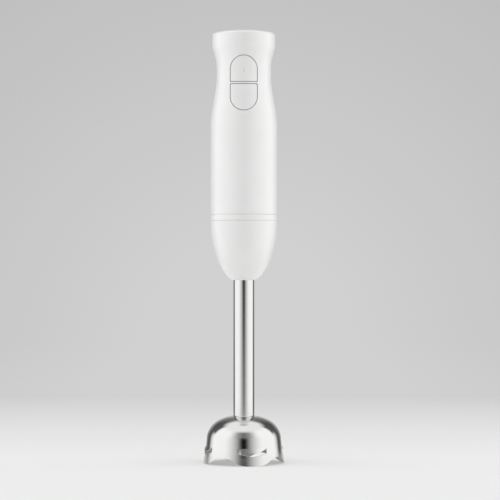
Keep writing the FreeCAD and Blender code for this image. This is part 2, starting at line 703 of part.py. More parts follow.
def screw_plugs():
    """Plugs that close the screw holes flush with the rear shell."""
    body = new_body("screw_plugs")
    for bosses, radius in ((GRIP_BOSSES, "grip_radius"), (HEAD_BOSSES, "head_radius")):
        length = f"plug_seat + {radius} + blank_margin - sqrt(({radius})^2 - boss_offset^2)"
        add_pins(body, "XZ", f"-({radius} + blank_margin)", "screw_head_radius", bosses, length)
    trim_to_handle(body)


# ---------------------------------------------------------------- buttons

def button(name, upper):
    """A hollow cap, flush with the neck, with a flange behind the shell and a stem."""
    body = new_body(name)
    depth = "grip_radius + blank_margin - flange_reach"
    add_block(body, "XZ", "flange_reach", half_capsule(upper, "button_gap"), depth)
    trim_to_handle(body)
    flange = half_capsule(upper, "button_gap - flange_margin")
    add_block(body, "XZ", "flange_reach", flange, "flange_thickness")
    hollow = half_capsule(upper, "button_gap + cap_wall")
    cut_outline(body, "XZ", "flange_reach", hollow, "neck_radius - cap_skin - flange_reach")
    middle = "high_centre" if upper else "low_centre"
    stem = "neck_radius - cap_skin / 2 - stem_reach"
    add_pins(body, "XZ", "stem_reach", "stem_radius", [("0", middle)], stem)
    if upper:
        cut_outline(body, "XZ", "neck_radius - mark_depth", mark_corners(), "2 * mark_depth")
    return body


def mark_corners():
    middle = "handle_top - mark_drop"
    return box_corners("-mark_half_width", "mark_half_width",
                       f"{middle} - mark_half_height", f"{middle} + mark_half_height")


def power_mark():
    """The small upright mark let into the upper button."""
    body = new_body("power_mark")
    add_block(body, "XZ", "neck_radius - mark_depth", mark_corners(), "2 * mark_depth")
    trim_to_handle(body)


def button_spring(name, middle):
    """A coil spring round the stem, from the guide to the inside of the cap."""
    body = new_body(name)
    sketch = sketch_on(body, "XZ")
    circle(sketch, "spring_radius", "spring_wire", "spring_wire")
    coil = body.newObject("PartDesign::AdditiveHelix", f"{name}_coil")
    coil.Profile = sketch
    coil.ReferenceAxis = (sketch, ["V_Axis"])
    coil.Mode = "pitch-height-angle"
    coil.setExpression("Pitch", formula("spring_pitch"))
    coil.setExpression("Height", formula("spring_room - 2 * spring_wire - 0.1"))
    doc.recompute()
    place(body, y="-(guide_reach + 0.05)", z=middle, turn=(FreeCAD.Vector(1, 0, 0), 90))


def button_guide():
    """The plate that guides both stems, on four legs that carry the switch board."""
    body = new_body("button_guide")
    low, high = "low_centre - guide_end", "high_centre + guide_end"
    plate = box_corners("-guide_half_width", "guide_half_width", low, high)
    back = "guide_reach - guide_thickness"
    add_block(body, "XZ", back, plate, "guide_thickness")
    legs = [(f"{side}(switch_board_half_width - leg_inset)", level)
            for side in ("-", "") for level in ("low_centre - leg_end", "high_centre + leg_end")]
    add_pins(body, "XZ", "switch_reach", "leg_radius", legs, f"{back} - switch_reach")
    centres = [("0", "high_centre"), ("0", "low_centre")]
    cut_holes(body, "XZ", "0", "stem_radius + guide_play", centres)


def switch_board():
    body = new_body("switch_board")
    corners = box_corners("-switch_board_half_width", "switch_board_half_width",
                          "low_centre - switch_board_end", "high_centre + switch_board_end")
    add_block(body, "XZ", "switch_reach - board_thickness", corners, "board_thickness")


def switch(name, middle):
    """A push switch: square body and round plunger."""
    body = new_body(name)
    half = "switch_half_width"
    square = box_corners(f"-{half}", half, f"{middle} - {half}", f"{middle} + {half}")
    add_block(body, "XZ", "switch_reach", square, "switch_height")
    add_pins(body, "XZ", "switch_reach + switch_height", "plunger_radius", [("0", middle)],
             "plunger_height")


# ---------------------------------------------------------------- battery and electronics

def battery_cell(name, side):
    """A steel-cased cell, standing, with its raised contact."""
    case_end = "cell_length - contact_rise"
    body = turned(name, [
        ("0", "0"), ("cell_radius - cell_edge", "0"), ("cell_radius", "cell_edge"),
        ("cell_radius", f"{case_end} - cell_neck"), ("cell_radius - cell_neck", case_end),
        ("contact_radius", case_end), ("contact_radius", "cell_length"), ("0", "cell_length"),
    ])
    place(body, x=side + "cell_offset", y="cell_setback", z="cell_base")


def battery_holder():
    """A back plate and two end walls that hold the pair of cells."""
    body = new_body("battery_holder")
    reach = "cell_offset + holder_side"
    back = box_corners(f"-({reach})", reach, "holder_base - holder_wall", "holder_top + holder_wall")
    add_block(body, "XZ", "holder_front", back, "holder_back")
    for level in ("holder_base - holder_wall", "holder_top"):
        wall = box_corners(f"-({reach})", reach, "-(holder_front + holder_back / 4)",
                           "cell_setback + holder_shelf")
        add_block(body, "XY", level, wall, "holder_wall")
    posts = [("-cell_offset", "0"), ("cell_offset", "0")]
    post_base = "holder_top + holder_wall"
    add_pins(body, "XY", post_base, "post_radius", posts, f"board_base - ({post_base})")
    pegs = [(f"{side}(switch_board_half_width - peg_inset)", level)
            for side in ("-", "") for level in ("low_centre - peg_end", "high_centre + peg_end")]
    front = "holder_front + holder_back"
    add_pins(body, "XZ", front, "leg_radius", pegs, f"switch_reach - board_thickness - ({front})")


def battery_contacts():
    """Nickel strips: one bridge below, one tab on each cell above."""
    body = new_body("battery_contacts")
    near, far = "cell_setback - strip_half_width", "cell_setback + strip_half_width"
    end = "cell_offset + strip_half_width"
    bridge = box_corners(f"-({end})", end, near, far)
    add_block(body, "XY", "cell_base - contact_thickness", bridge, "contact_thickness")
    for side in ("-", ""):
        tab = box_corners(f"{side}cell_offset - strip_half_width",
                          f"{side}cell_offset + strip_half_width",
                          near, "cell_setback + strip_reach")
        add_block(body, "XY", "cell_top", tab, "contact_thickness")


def control_board():
    """A round board over the battery, with its larger components."""
    body = new_body("control_board")
    add_pins(body, "XY", "board_base", "board_radius", [("0", "0")], "board_thickness")
    parts = [("-13", "-6", "-12", "-5", "2"), ("2", "9", "-14", "-8", "1.4"),
             ("-4", "4", "-4", "4", "1"), ("9", "15", "-2", "6", "2.6")]
    for left, right, low, high, height in parts:
        add_block(body, "XY", "board_top", box_corners(left, right, low, high), height)


def charging_port():
    """The USB-C receptacle: a seamless shell and its tongue."""
    body = new_body("charging_port")
    outer = stadium("port_half_width", "port_half_height", "port_level")
    add_block(body, "XZ", "-port_reach", outer, "port_length")
    bore = stadium("port_half_width - port_wall", "port_half_height - port_wall", "port_level")
    cut_outline(body, "XZ", "-port_reach", bore, "port_length - port_floor")
    tongue = box_corners("-tongue_half_width", "tongue_half_width",
                         "port_level - tongue_half_height", "port_level + tongue_half_height")
    add_block(body, "XZ", "tongue_setback - port_reach", tongue,
              "port_length - port_floor / 2 - tongue_setback")


def port_cover():
    """A silicone cover, flush with the head, that folds down on its lower edge."""
    body = new_body("port_cover")
    width, height = "cover_half_width - cover_gap", "cover_half_height - cover_gap"
    cover = stadium(width, height, "port_level")
    far = "head_radius + blank_margin"
    add_block(body, "XZ", f"-({far})", cover, f"{far} - cover_seat - cover_gap / 2")
    trim_to_handle(body)


def battery_leads():
    """Two short leads from the battery's tabs up to the control board."""
    body = new_body("battery_leads")
    base = "cell_top + contact_thickness"
    tabs = [(f"{side}cell_offset", "cell_setback + strip_lead") for side in ("-", "")]
    add_pins(body, "XY", base, "lead_radius", tabs, f"board_base - ({base})")


def motor_leads():
    """Two leads: straight runs joined by tangent arcs, up behind the switch board."""
    name = "motor_leads"
    path = [
        ("-lead_start", "lead_base"), ("-lead_start", "lead_base + 2", "lead_bend", RIGHT),
        ("-(lead_start + lead_run) / 2", "lead_middle", "lead_bend", LEFT),
        ("-lead_run", "lead_level"), ("-lead_run", "board_base"),
    ]
    body = new_body(name)
    for side in ("-", ""):
        spine = sketch_on(body, "YZ", f"{side}lead_offset")
        draw_path(spine, path)
        profile = sketch_on(body, "XY", path[0][1])
        circle(profile, f"{side}lead_offset", path[0][0], "lead_radius")
        pipe = body.newObject("PartDesign::AdditivePipe", f"{name}_pipe")
        pipe.Profile = profile
        pipe.Spine = (spine, [f"Edge{number + 1}" for number in range(len(path) - 1)])
        doc.recompute()


# ---------------------------------------------------------------- motor

MOTOR_SCREWS = [(f"{side}motor_screw_offset", "0") for side in ("-", "")]


def motor_case():
    """The motor's standing parts: can, end cap, bearings, magnets, brushes and screws."""
    can = turned("motor_can", [
        ("bearing_radius", "motor_base"), ("motor_radius", "motor_base"),
        ("motor_radius", "motor_top"), ("magnet_radius", "motor_top"),
        ("magnet_radius", "motor_base + motor_wall"), ("bearing_radius", "motor_base + motor_wall"),
    ])
    cut_holes(can, "XY", "motor_base", "screw_radius", MOTOR_SCREWS, "motor_wall")
    bore = "shaft_radius + 0.8"
    cap_top = "motor_top + cap_height"
    cap = turned("motor_end_cap", [
        (bore, f"{cap_top} - cap_lip"), ("bearing_radius", f"{cap_top} - cap_lip"),
        ("bearing_radius", "motor_top - cap_sink"), ("magnet_radius", "motor_top - cap_sink"),
        ("magnet_radius", "motor_top"), ("motor_radius", "motor_top"),
        ("motor_radius", f"{cap_top} - cap_lip"), ("motor_radius - cap_lip", cap_top),
        (bore, cap_top),
    ])
    for side in ("-", ""):
        terminal = box_corners(f"{side}lead_offset - terminal_half_width",
                               f"{side}lead_offset + terminal_half_width",
                               "-lead_start - terminal_half_depth",
                               "-lead_start + terminal_half_depth")
        add_block(cap, "XY", f"{cap_top} - cap_lip", terminal, "terminal_rise + cap_lip")
    low, high = "motor_base", f"{cap_top} - cap_lip - bearing_height"
    for name, base in (("motor_bearing_low", low), ("motor_bearing_high", high)):
        ring(name, "shaft_radius + running_play", "bearing_radius", base, f"{base} + bearing_height")
    magnets = ring("magnets", "magnet_radius - magnet_thickness", "magnet_radius",
                   "armature_base - magnet_margin", "armature_top + magnet_margin")
    half = "magnet_radius * sin(20)"
    across = box_corners(f"-{half}", half, "-motor_radius", "motor_radius")
    cut_outline(magnets, "XY", "0", across)
    brushes = new_body("brushes")
    inner, outer = "commutator_radius + brush_play", "magnet_radius - brush_inset"
    for left, right in ((inner, outer), (f"-({outer})", f"-({inner})")):
        block = box_corners(left, right, "-brush_half_width", "brush_half_width")
        add_block(brushes, "XY", "commutator_base + brush_low", block,
                  "motor_top - brush_high - commutator_base - brush_low")


def motor_screws():
    """Two screws up through the coupling base into the motor."""
    centres = MOTOR_SCREWS
    body = new_body("motor_screws")
    head_base = "web_base - screw_head_height"
    add_pins(body, "XY", head_base, "screw_head_radius", centres, "screw_head_height")
    add_pins(body, "XY", "web_base", "screw_radius", centres, "motor_base + motor_wall - web_base")
    cut_holes(body, "XY", head_base, "screw_head_radius / recess_ratio", centres,
              "screw_head_height / 2")


def rotor():
    """What turns on the motor's side: core, windings, commutator, shaft and driving hexagon."""
    core = ring("armature", "shaft_radius", "armature_radius", "armature_base", "armature_top")
    slot = box_corners("-slot_half_width", "slot_half_width",
                       "armature_radius - slot_depth", "armature_radius + blank_margin")
    polar(core, [cut_outline(core, "XY", "0", slot)], 10)
    coils = new_body("windings")
    ends = [("armature_base - winding_height", "armature_base"),
            ("armature_top", "armature_top + winding_height")]
    for low, high in ends:
        sketch = sketch_on(coils, "XZ")
        outline(sketch, box_corners("commutator_radius + winding_room",
                                    "armature_radius - winding_inset", low, high))
        revolve(coils, sketch)
    commutator = ring("commutator", "shaft_radius", "commutator_radius", "commutator_base",
                      "commutator_base + commutator_length")
    cut = box_corners("-bar_gap", "bar_gap",
                      "commutator_radius - bar_depth", "commutator_radius + blank_margin")
    polar(commutator, [cut_outline(commutator, "XY", "0", cut)], 10)
    turned("motor_shaft", box_corners("0", "shaft_radius", "dog_top + hexagon_floor",
                                      "motor_top + cap_height + shaft_tail"))
    hexagon = new_body("drive_hexagon")
    add_block(hexagon, "XY", "hexagon_end", hexagon_corners("dog_socket - dog_play"),
              "dog_overlap + hexagon_clear")
    add_pins(hexagon, "XY", "dog_top + hexagon_clear", "dog_radius - hexagon_clear",
             [("0", "0")], "hexagon_collar")
    cut_holes(hexagon, "XY", "dog_top + hexagon_floor", "shaft_radius", [("0", "0")])


def motor_damper():
    """A rubber ring between the motor and the shells, with holes that soften it."""
    body = ring("motor_damper", "motor_radius", "shell_bore - 0.1",
                "motor_base + damper_lift", "motor_base + damper_lift + damper_height")
    middle = "(motor_radius + shell_bore) / 2"
    hole = cut_holes(body, "XY", "motor_base + damper_lift - 1", "damper_hole", [("0", middle)])
    polar(body, [hole], 12)


# ---------------------------------------------------------------- collar and coupling base

def coupling_base():
    """The web that carries the motor, and the spigot that the attachment plugs onto."""
    floor, level = "spigot_radius - 1.9 * seal_wire", "spigot_seal_level"
    body = turned("coupling_base", [
        ("motor_boss_radius", "web_base"), ("spigot_bore", "web_base"),
        ("spigot_bore", "spigot_end"), ("spigot_radius", "spigot_end"),
        ("spigot_radius", f"{level} - 1.1 * seal_wire"), (floor, f"{level} - 1.1 * seal_wire"),
        (floor, f"{level} + 1.1 * seal_wire"),
        ("spigot_radius", f"{level} + 1.1 * seal_wire"), ("spigot_radius", "web_base"),
        ("shell_bore - 0.1", "web_base"), ("shell_bore - 0.1", "web_top"),
        ("motor_boss_radius", "web_top"),
    ])
    cut_holes(body, "XY", "web_base - 1", "screw_radius", MOTOR_SCREWS)


def wire_ring(name, mean_radius, level, wire):
    """A round-section ring, such as an O-ring."""
    body = new_body(name)
    sketch = sketch_on(body, "XZ")
    circle(sketch, mean_radius, level, wire)
    revolve(body, sketch)
    return body


def latch_clip():
    """An open spring ring round the hub's neck: it spreads as the attachment comes off."""
    body = wire_ring("latch_clip", "neck_outer", "clip_level", "clip_wire")
    gap = box_corners("-clip_gap", "clip_gap", "0", "grip_radius")
    cut_outline(body, "XY", "clip_level - 2 * clip_wire", gap, "4 * clip_wire")


def lock_collar():
    """The ring that backs the latch clip; its reliefs let the clip spread when it is turned."""
    low = "hub_top + seam_gap / 2"
    high = "collar_top - seam_gap / 2"
    body = turned("lock_collar", [
        ("collar_bore", low), ("grip_radius - 0.3", low), ("grip_radius", f"{low} + 0.3"),
        ("grip_radius", f"{high} - 0.3"), ("grip_radius - 0.3", high),
        ("lip_radius - seam_gap", high), ("lip_radius - seam_gap", "collar_flange_base"),
        ("shell_bore - seam_gap", "collar_flange_base"),
        ("shell_bore - seam_gap", "collar_flange_top"), ("collar_bore", "collar_flange_top"),
    ])
    relief = box_corners("-relief_half_width", "relief_half_width", "0",
                         "collar_bore + relief_depth")
    base = "clip_level - 2 * clip_wire"
    pocket = cut_outline(body, "XY", base, relief, "4 * clip_wire")
    polar(body, [pocket], 3)


# ---------------------------------------------------------------- attachment

def hub_shell():
    """The tapered hub: neck, socket for the spigot, seat for the core and hole for the tube."""
    groove = "tube_radius + 2 * tube_seal_wire"
    seal = "hub_bottom + hub_seal_rise"
    body = turned("hub_shell", [
        ("tube_radius", "hub_bottom"), ("hub_end_radius", "hub_bottom", "hub_lower_round", LEFT),
        ("hub_mid_radius", "hub_mid", "hub_upper_round", LEFT),
        ("grip_radius", "hub_shoulder"), ("neck_outer", "hub_shoulder"),
        ("neck_outer", "clip_level - clip_wire - 0.3"),
        ("neck_outer - clip_wire - 0.3", "clip_level - clip_wire"),
        ("neck_outer - clip_wire - 0.3", "clip_level + clip_wire"),
        ("neck_outer - 0.4", "neck_end"), ("socket_radius", "neck_end"),
        ("socket_radius", "core_step"), ("hub_core_radius", "core_step"),
        ("hub_core_radius", "core_base"), ("tube_radius", "core_base"),
        ("tube_radius", f"{seal} + tube_seal_wire"), (groove, f"{seal} + tube_seal_wire"),
        (groove, f"{seal} - tube_seal_wire"), ("tube_radius", f"{seal} - tube_seal_wire"),
    ])
    rim = [f"Edge{number}" for number, edge in enumerate(body.Shape.Edges, start=1)
           if abs(edge.BoundBox.ZMax - value("hub_bottom")) < 1e-4
           and abs(edge.BoundBox.XMax - value("hub_end_radius")) < 1e-3]
    solid = body.Tip
    rounding = body.newObject("PartDesign::Fillet", "hub_rounding")
    rounding.Base = (solid, rim)
    rounding.setExpression("Radius", formula("hub_edge_round"))
    doc.recompute()


def hub_core():
    """The moulding inside the hub that grips the tube and holds the upper bush."""
    turned("hub_core", [
        ("tube_radius", "core_base"), ("hub_core_radius", "core_base"),
        ("hub_core_radius", "core_step"), ("socket_radius", "core_step"),
        ("socket_radius", "core_top"), ("upper_bush_radius", "core_top"),
        ("upper_bush_radius", "core_step"), ("tube_radius", "core_step"),
    ])


def shaft_tube():
    ring("shaft_tube", "tube_bore", "tube_radius", "bell_height", "core_step")


def tube_seal():
    level = "hub_bottom + hub_seal_rise"
    wire_ring("tube_seal", "tube_radius + tube_seal_wire", level, "tube_seal_wire")


def bushes():
    """Sintered bushes at both ends of the drive shaft and a plastic steady in the middle."""
    bore = "drive_radius + running_play"
    ring("upper_bush", bore, "upper_bush_radius", "core_step + 0.2", "core_step + 0.2 + bush_length")
    ring("lower_bush", bore, "tube_bore - sleeve_wall", "bell_height + 1",
         "bell_height + 1 + bush_length")
    middle = "(bell_height + core_step) / 2"
    steady = ring("shaft_steady", bore, "tube_bore", f"{middle} - 4", f"{middle} + 4")
    window = cut_holes(steady, "XY", f"{middle} - 5", "steady_hole", [("0", "steady_hole_offset")])
    polar(steady, [window], 6)


def bell():
    """The pressed bell: four lobes in the rim, four hooded vents and a sleeve for the tube."""
    body = new_body("bell")
    solid = sketch_on(body, "XZ")
    outline(solid, [("0", "0")] + bell_side("0", "0") + [("0", "bell_height")])
    revolve(body, solid)
    vent_hoods(body)
    inside = sketch_on(body, "XZ")
    roof = "bell_height - bell_wall"
    outline(inside, [("0", "-2")] + bell_side("bell_wall", "-2") + [("0", roof)])
    revolve(body, inside, cut=True)
    slot = [("-vent_half_width", "vent_level")]
    slot += vent_arc("vent_slot_side", "vent_slot_drop - vent_slot_side", LEFT)
    slot += [("vent_half_width", "vent_level - vent_slot_side")]
    slot += vent_arc("0", "vent_hood_drop", RIGHT)
    polar(body, [cut_outline(body, "XZ", "0", slot)], 4)
    polar(body, [rim_arch(body)], 4)
    add_pins(body, "XY", roof, "tube_bore", [("0", "0")], "sleeve_length + bell_wall")
    cut_holes(body, "XY", "0", "tube_bore - sleeve_wall", [("0", "0")])
    place(body, turn=(FreeCAD.Vector(0, 0, 1), value("lobe_turn")))


def bell_side(inset, foot):
    """The bell's outline from a level up to the shoulder, inset square to the surface."""
    side, top = f"(bell_side_round - {inset})", f"(bell_top_round - {inset})"
    skirt = f"side_centre_radius + {side} * cos(skirt_slope)"
    skirt_end = f"side_centre + {side} * sin(skirt_slope)"
    reach = "(tube_radius - top_centre_radius)"
    return [
        (f"{skirt} + ({skirt_end} - ({foot})) * tan(skirt_slope)", foot),
        (skirt, skirt_end, side, LEFT),
        (f"side_centre_radius + {side} * sin(bell_turn)",
         f"side_centre + {side} * cos(bell_turn)", top, LEFT),
        ("tube_radius", f"top_centre + sqrt({top}^2 - {reach}^2)"),
    ]


def vent_arc(below, sag, turn):
    """An arc across a vent, from a level below its straight upper edge, which sags in the middle."""
    radius = f"(vent_half_width^2 + ({sag})^2) / (2 * ({sag}))"
    side = "-" if turn == LEFT else ""
    return [(f"{side}vent_half_width", f"vent_level - {below}", radius, turn)]


def vent_hoods(body):
    """Four hoods that slope out of the bell's side, from a straight crease to a curved lip."""
    below = "(vent_hood_drop + hood_trim)"
    sketch = sketch_on(body, "XZ", "0")
    outline(sketch, vent_arc("0", below, LEFT) + [("vent_half_width", "vent_level")])
    polar(body, [extrude(body, sketch, "vent_lip_radius + 2")], 4)
    slope = "(vent_lip_radius - vent_radius) / vent_hood_drop"
    trim = sketch_on(body, "XZ")
    outline(trim, [
        ("vent_radius + vent_crease", "vent_level"),
        (f"vent_radius + {below} * {slope}", f"vent_level - {below}"),
        ("2 * vent_lip_radius", f"vent_level - {below}"), ("2 * vent_lip_radius", "vent_level"),
    ])
    revolve(body, trim, cut=True)


def rim_arch(body):
    """One wave of the rim: two feet and an arch between them, cut through one side."""
    sketch = sketch_on(body, "XZ")
    turn = FreeCAD.Rotation(FreeCAD.Vector(0, 1, 0), 45)
    sketch.AttachmentOffset = FreeCAD.Placement(FreeCAD.Vector(), turn)
    span = "(rim_radius * cos(45) - foot_half_width)"
    radius = f"({span}^2 + arch_rise^2) / (4 * arch_rise)"
    outline(sketch, [
        (f"-{span}", "-2"), (span, "-2"), (span, "0", radius, RIGHT),
        (f"{span} / 2", "arch_rise / 2", radius, LEFT),
        (f"-{span} / 2", "arch_rise / 2", radius, RIGHT), (f"-{span}", "0"),
    ])
    return extrude(body, sketch, reverse=True, cut=True)


def guard_hub():
    """The bearing carrier under the bell's shoulder, round the shaft seal."""
    turned("guard_hub", [
        ("seal_radius - 1", "guard_hub_level"), ("guard_hub_end - 1", "guard_hub_level"),
        ("guard_hub_end", "guard_hub_level + 1"), ("guard_hub_radius", "bell_underside - 0.6"),
        ("seal_radius", "bell_underside - 0.6"), ("seal_radius", "guard_hub_level + 1.5"),
        ("seal_radius - 1", "guard_hub_level + 1.5"),
    ])
    ring("shaft_seal", "drive_radius + 2 * running_play", "seal_radius",
         "guard_hub_level + 1.5", "guard_hub_level + 1.5 + seal_height")


# ---------------------------------------------------------------- drive in the attachment

def drive_line():
    """Shaft, driven socket, circlip, spacer, blade and nut, which turn as one."""
    turned("drive_shaft", box_corners("0", "drive_radius", "blade_level - nut_height + 1",
                                      "hexagon_end - dog_floor - 0.5"))
    dog = new_body("driven_socket")
    add_pins(dog, "XY", "dog_base", "dog_radius", [("0", "0")], "dog_height")
    cut_outline(dog, "XY", "hexagon_end - dog_floor", hexagon_corners("dog_socket"))
    shaft_pocket = "hexagon_end - dog_floor - 0.5 - dog_base"
    cut_holes(dog, "XY", "dog_base", "drive_radius", [("0", "0")], shaft_pocket)
    flute = cut_holes(dog, "XY", "dog_base", "1.2", [("0", "dog_radius + 0.3")])
    polar(dog, [flute], 12)
    ring("circlip", "drive_radius", "drive_radius + 1.6", "dog_base - 0.7", "dog_base")
    top = "blade_level + blade_thickness"
    turned("blade_spacer", [
        ("drive_radius", top), ("spacer_radius", top), ("spacer_radius", "guard_hub_level - 1.5"),
        ("seal_radius - 1.4", "guard_hub_level - 0.3"),
        ("seal_radius - 1.4", "guard_hub_level + 1.2"), ("drive_radius", "guard_hub_level + 1.2"),
    ])
    nut = new_body("blade_nut")
    add_block(nut, "XY", "blade_level - nut_height", hexagon_corners("nut_radius"), "nut_height")
    cut_holes(nut, "XY", "blade_level - nut_height + 1", "drive_radius", [("0", "0")])
    blade()


def blade():
    """A stamped plate with one wing bent up and the other down, curved in plan."""
    body = new_body("blade")
    t = "blade_thickness"
    side = [
        ("-blade_reach", "blade_level + blade_rise"), ("-blade_flat", "blade_level"),
        ("blade_flat", "blade_level"), ("blade_reach", "blade_level - blade_rise"),
        ("blade_reach", f"blade_level - blade_rise + {t}"), ("blade_flat", f"blade_level + {t}"),
        ("-blade_flat", f"blade_level + {t}"), ("-blade_reach", f"blade_level + blade_rise + {t}"),
    ]
    sketch = sketch_on(body, "XZ")
    outline(sketch, side)
    extrude(body, sketch, "3 * blade_half_width", midplane=True)
    plan = sketch_on(body, "XY")
    far = "2 * blade_reach"
    outline(plan, box_corners(f"-{far}", far, f"-{far}", far))
    wing = [
        ("blade_flat", "-blade_half_width", "blade_reach", LEFT),
        ("blade_reach", "blade_tip_low"),
        ("blade_reach - 1", "blade_tip_high", "blade_reach", RIGHT),
        ("blade_flat", "blade_half_width"),
    ]
    opposite = [(f"-({c[0]})", f"-({c[1]})") + c[2:] for c in wing]
    outline(plan, wing + opposite)
    extrude(body, plan, cut=True, reverse=True)
    cut_holes(body, "XY", "0", "drive_radius", [("0", "0")])


# ---------------------------------------------------------------- build and write

front_shell()
rear_shell()
shell_screws()
screw_plugs()
button("button_high", upper=True)
button("button_low", upper=False)
power_mark()
button_spring("button_spring_high", "high_centre")
button_spring("button_spring_low", "low_centre")
button_guide()
switch_board()
switch("switch_high", "high_centre")
switch("switch_low", "low_centre")
battery_cell("battery_cell_left", "-")
battery_cell("battery_cell_right", "")
battery_holder()
battery_contacts()
battery_leads()
control_board()
charging_port()
port_cover()
motor_case()
motor_screws()
motor_damper()
motor_leads()
rotor()
coupling_base()
wire_ring("spigot_seal", "spigot_radius - 0.9 * seal_wire", "spigot_seal_level", "seal_wire")
latch_clip()
lock_collar()
hub_shell()
hub_core()
tube_seal()
shaft_tube()
bushes()
bell()
guard_hub()
drive_line()
doc.recompute()

for item in doc.Objects:
    if "Invalid" in item.State or "Error" in item.State:
        raise RuntimeError(f"{item.Label} failed: {item.State}")
for node in nodes:
    if node.Shape.isNull() or not node.Shape.isValid() or not node.Shape.Solids:
        raise RuntimeError(f"{node.Label} has no sound shape")

os.makedirs("parts", exist_ok=True)
for node in nodes:
    node.Shape.exportStep(f"parts/{node.Label}.step")
print(len(nodes), "parts written")
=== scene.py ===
import json
import math

import bmesh
import bpy
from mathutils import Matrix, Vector

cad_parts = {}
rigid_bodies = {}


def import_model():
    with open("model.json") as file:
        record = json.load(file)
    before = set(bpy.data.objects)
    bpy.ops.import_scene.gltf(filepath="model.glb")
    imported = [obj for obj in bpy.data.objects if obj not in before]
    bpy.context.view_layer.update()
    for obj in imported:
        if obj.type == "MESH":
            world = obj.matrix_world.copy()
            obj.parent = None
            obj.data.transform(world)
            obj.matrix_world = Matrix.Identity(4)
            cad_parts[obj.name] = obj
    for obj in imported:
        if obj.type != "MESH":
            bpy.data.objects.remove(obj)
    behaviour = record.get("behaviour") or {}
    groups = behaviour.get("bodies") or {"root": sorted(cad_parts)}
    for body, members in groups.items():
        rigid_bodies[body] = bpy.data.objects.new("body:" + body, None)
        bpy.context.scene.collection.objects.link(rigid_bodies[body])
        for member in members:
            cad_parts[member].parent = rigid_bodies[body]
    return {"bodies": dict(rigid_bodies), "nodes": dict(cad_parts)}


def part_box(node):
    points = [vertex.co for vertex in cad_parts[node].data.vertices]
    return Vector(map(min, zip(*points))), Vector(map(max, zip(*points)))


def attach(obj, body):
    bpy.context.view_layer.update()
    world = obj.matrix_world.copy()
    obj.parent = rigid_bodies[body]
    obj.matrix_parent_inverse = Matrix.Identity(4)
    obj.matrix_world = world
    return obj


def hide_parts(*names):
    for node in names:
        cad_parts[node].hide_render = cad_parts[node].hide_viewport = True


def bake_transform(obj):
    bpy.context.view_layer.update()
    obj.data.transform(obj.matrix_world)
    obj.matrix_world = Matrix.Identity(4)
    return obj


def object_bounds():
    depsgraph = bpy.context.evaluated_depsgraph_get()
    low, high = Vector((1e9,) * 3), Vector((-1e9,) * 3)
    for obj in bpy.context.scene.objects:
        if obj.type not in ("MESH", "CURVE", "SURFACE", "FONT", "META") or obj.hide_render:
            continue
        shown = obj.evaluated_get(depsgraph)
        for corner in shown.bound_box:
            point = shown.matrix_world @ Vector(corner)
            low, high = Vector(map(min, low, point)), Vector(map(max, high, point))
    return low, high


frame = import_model()
NODES = frame["nodes"]
CAD_LOW, CAD_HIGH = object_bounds()

MM = 0.001
SCENE = bpy.context.scene

# ---------------------------------------------------------------- places taken from the frame

TUBE_LOW, TUBE_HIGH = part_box("shaft_tube")
SHELL_LOW, SHELL_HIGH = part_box("front_shell")
HEIGHT = CAD_HIGH.z - CAD_LOW.z
TUBE_RADIUS = TUBE_HIGH.x
SHOULDER = TUBE_LOW.z


# ---------------------------------------------------------------- node helpers

class Nodes:
    """Short spellings for one node tree."""

    def __init__(self, tree):
        self.tree = tree
        tree.nodes.clear()

    def add(self, kind, **values):
        """A node; a value is a link when it is a socket, an input by name or a property."""
        node = self.tree.nodes.new(kind)
        for name, value in values.items():
            label = name.replace("_", " ")
            inputs = {s.name.lower(): s for s in node.inputs if not s.is_unavailable}
            if hasattr(node, name) and label not in inputs:
                setattr(node, name, value)
                continue
            socket = inputs[label]
            if isinstance(value, bpy.types.NodeSocket):
                self.tree.links.new(value, socket)
            else:
                socket.default_value = value
        return node

    def math(self, operation, first, second=0.0):
        node = self.tree.nodes.new("ShaderNodeMath")
        node.operation = operation
        for socket, value in zip(node.inputs, (first, second)):
            if isinstance(value, bpy.types.NodeSocket):
                self.tree.links.new(value, socket)
            else:
                socket.default_value = value
        return node.outputs[0]

    def ramp(self, factor, stops):
        """A ramp of (position, grey) or (position, (r, g, b)) stops."""
        node = self.tree.nodes.new("ShaderNodeValToRGB")
        self.tree.links.new(factor, node.inputs[0])
        while len(node.color_ramp.elements) < len(stops):
            node.color_ramp.elements.new(0.5)
        for element, (position, tone) in zip(node.color_ramp.elements, stops):
            element.position = position
            rgb = tone if isinstance(tone, tuple) else (tone, tone, tone)
            element.color = (*rgb, 1.0)
        return node.outputs[0]

    def mix(self, factor, first, second, blend="MIX"):
        node = self.tree.nodes.new("ShaderNodeMix")
        node.data_type = "RGBA"
        node.blend_type = blend
        for socket, value in zip((node.inputs[0], node.inputs[6], node.inputs[7]),
                                 (factor, first, second)):
            if isinstance(value, bpy.types.NodeSocket):
                self.tree.links.new(value, socket)
            else:
                socket.default_value = (*value, 1.0) if isinstance(value, tuple) else value
        return node.outputs[2]

    def spread(self, value, low, high):
        """A 0 to 1 value spread between two others."""
        node = self.add("ShaderNodeMapRange", value=value, to_min=low, to_max=high)
        return node.outputs[0]

    def coordinates(self, stretch=(1.0, 1.0, 1.0)):
        place = self.tree.nodes.new("ShaderNodeTexCoord").outputs["Object"]
        return self.add("ShaderNodeMapping", vector=place, scale=stretch).outputs[0]

    def noise(self, size, stretch=(1.0, 1.0, 1.0), detail=3.0):
        """Noise whose blobs are about size metres across."""
        node = self.add("ShaderNodeTexNoise", vector=self.coordinates(stretch),
                        scale=1.0 / size, detail=detail)
        return node.outputs[0]


def new_material(name):
    """An empty node material with one Principled shader."""
    material = bpy.data.materials.new(name)
    material.use_nodes = True
    nodes = Nodes(material.node_tree)
    shader = nodes.add("ShaderNodeBsdfPrincipled")
    nodes.add("ShaderNodeOutputMaterial", surface=shader.outputs[0])
    return material, nodes, shader


def link(nodes, value, shader, socket):
    nodes.tree.links.new(value, shader.inputs[socket])


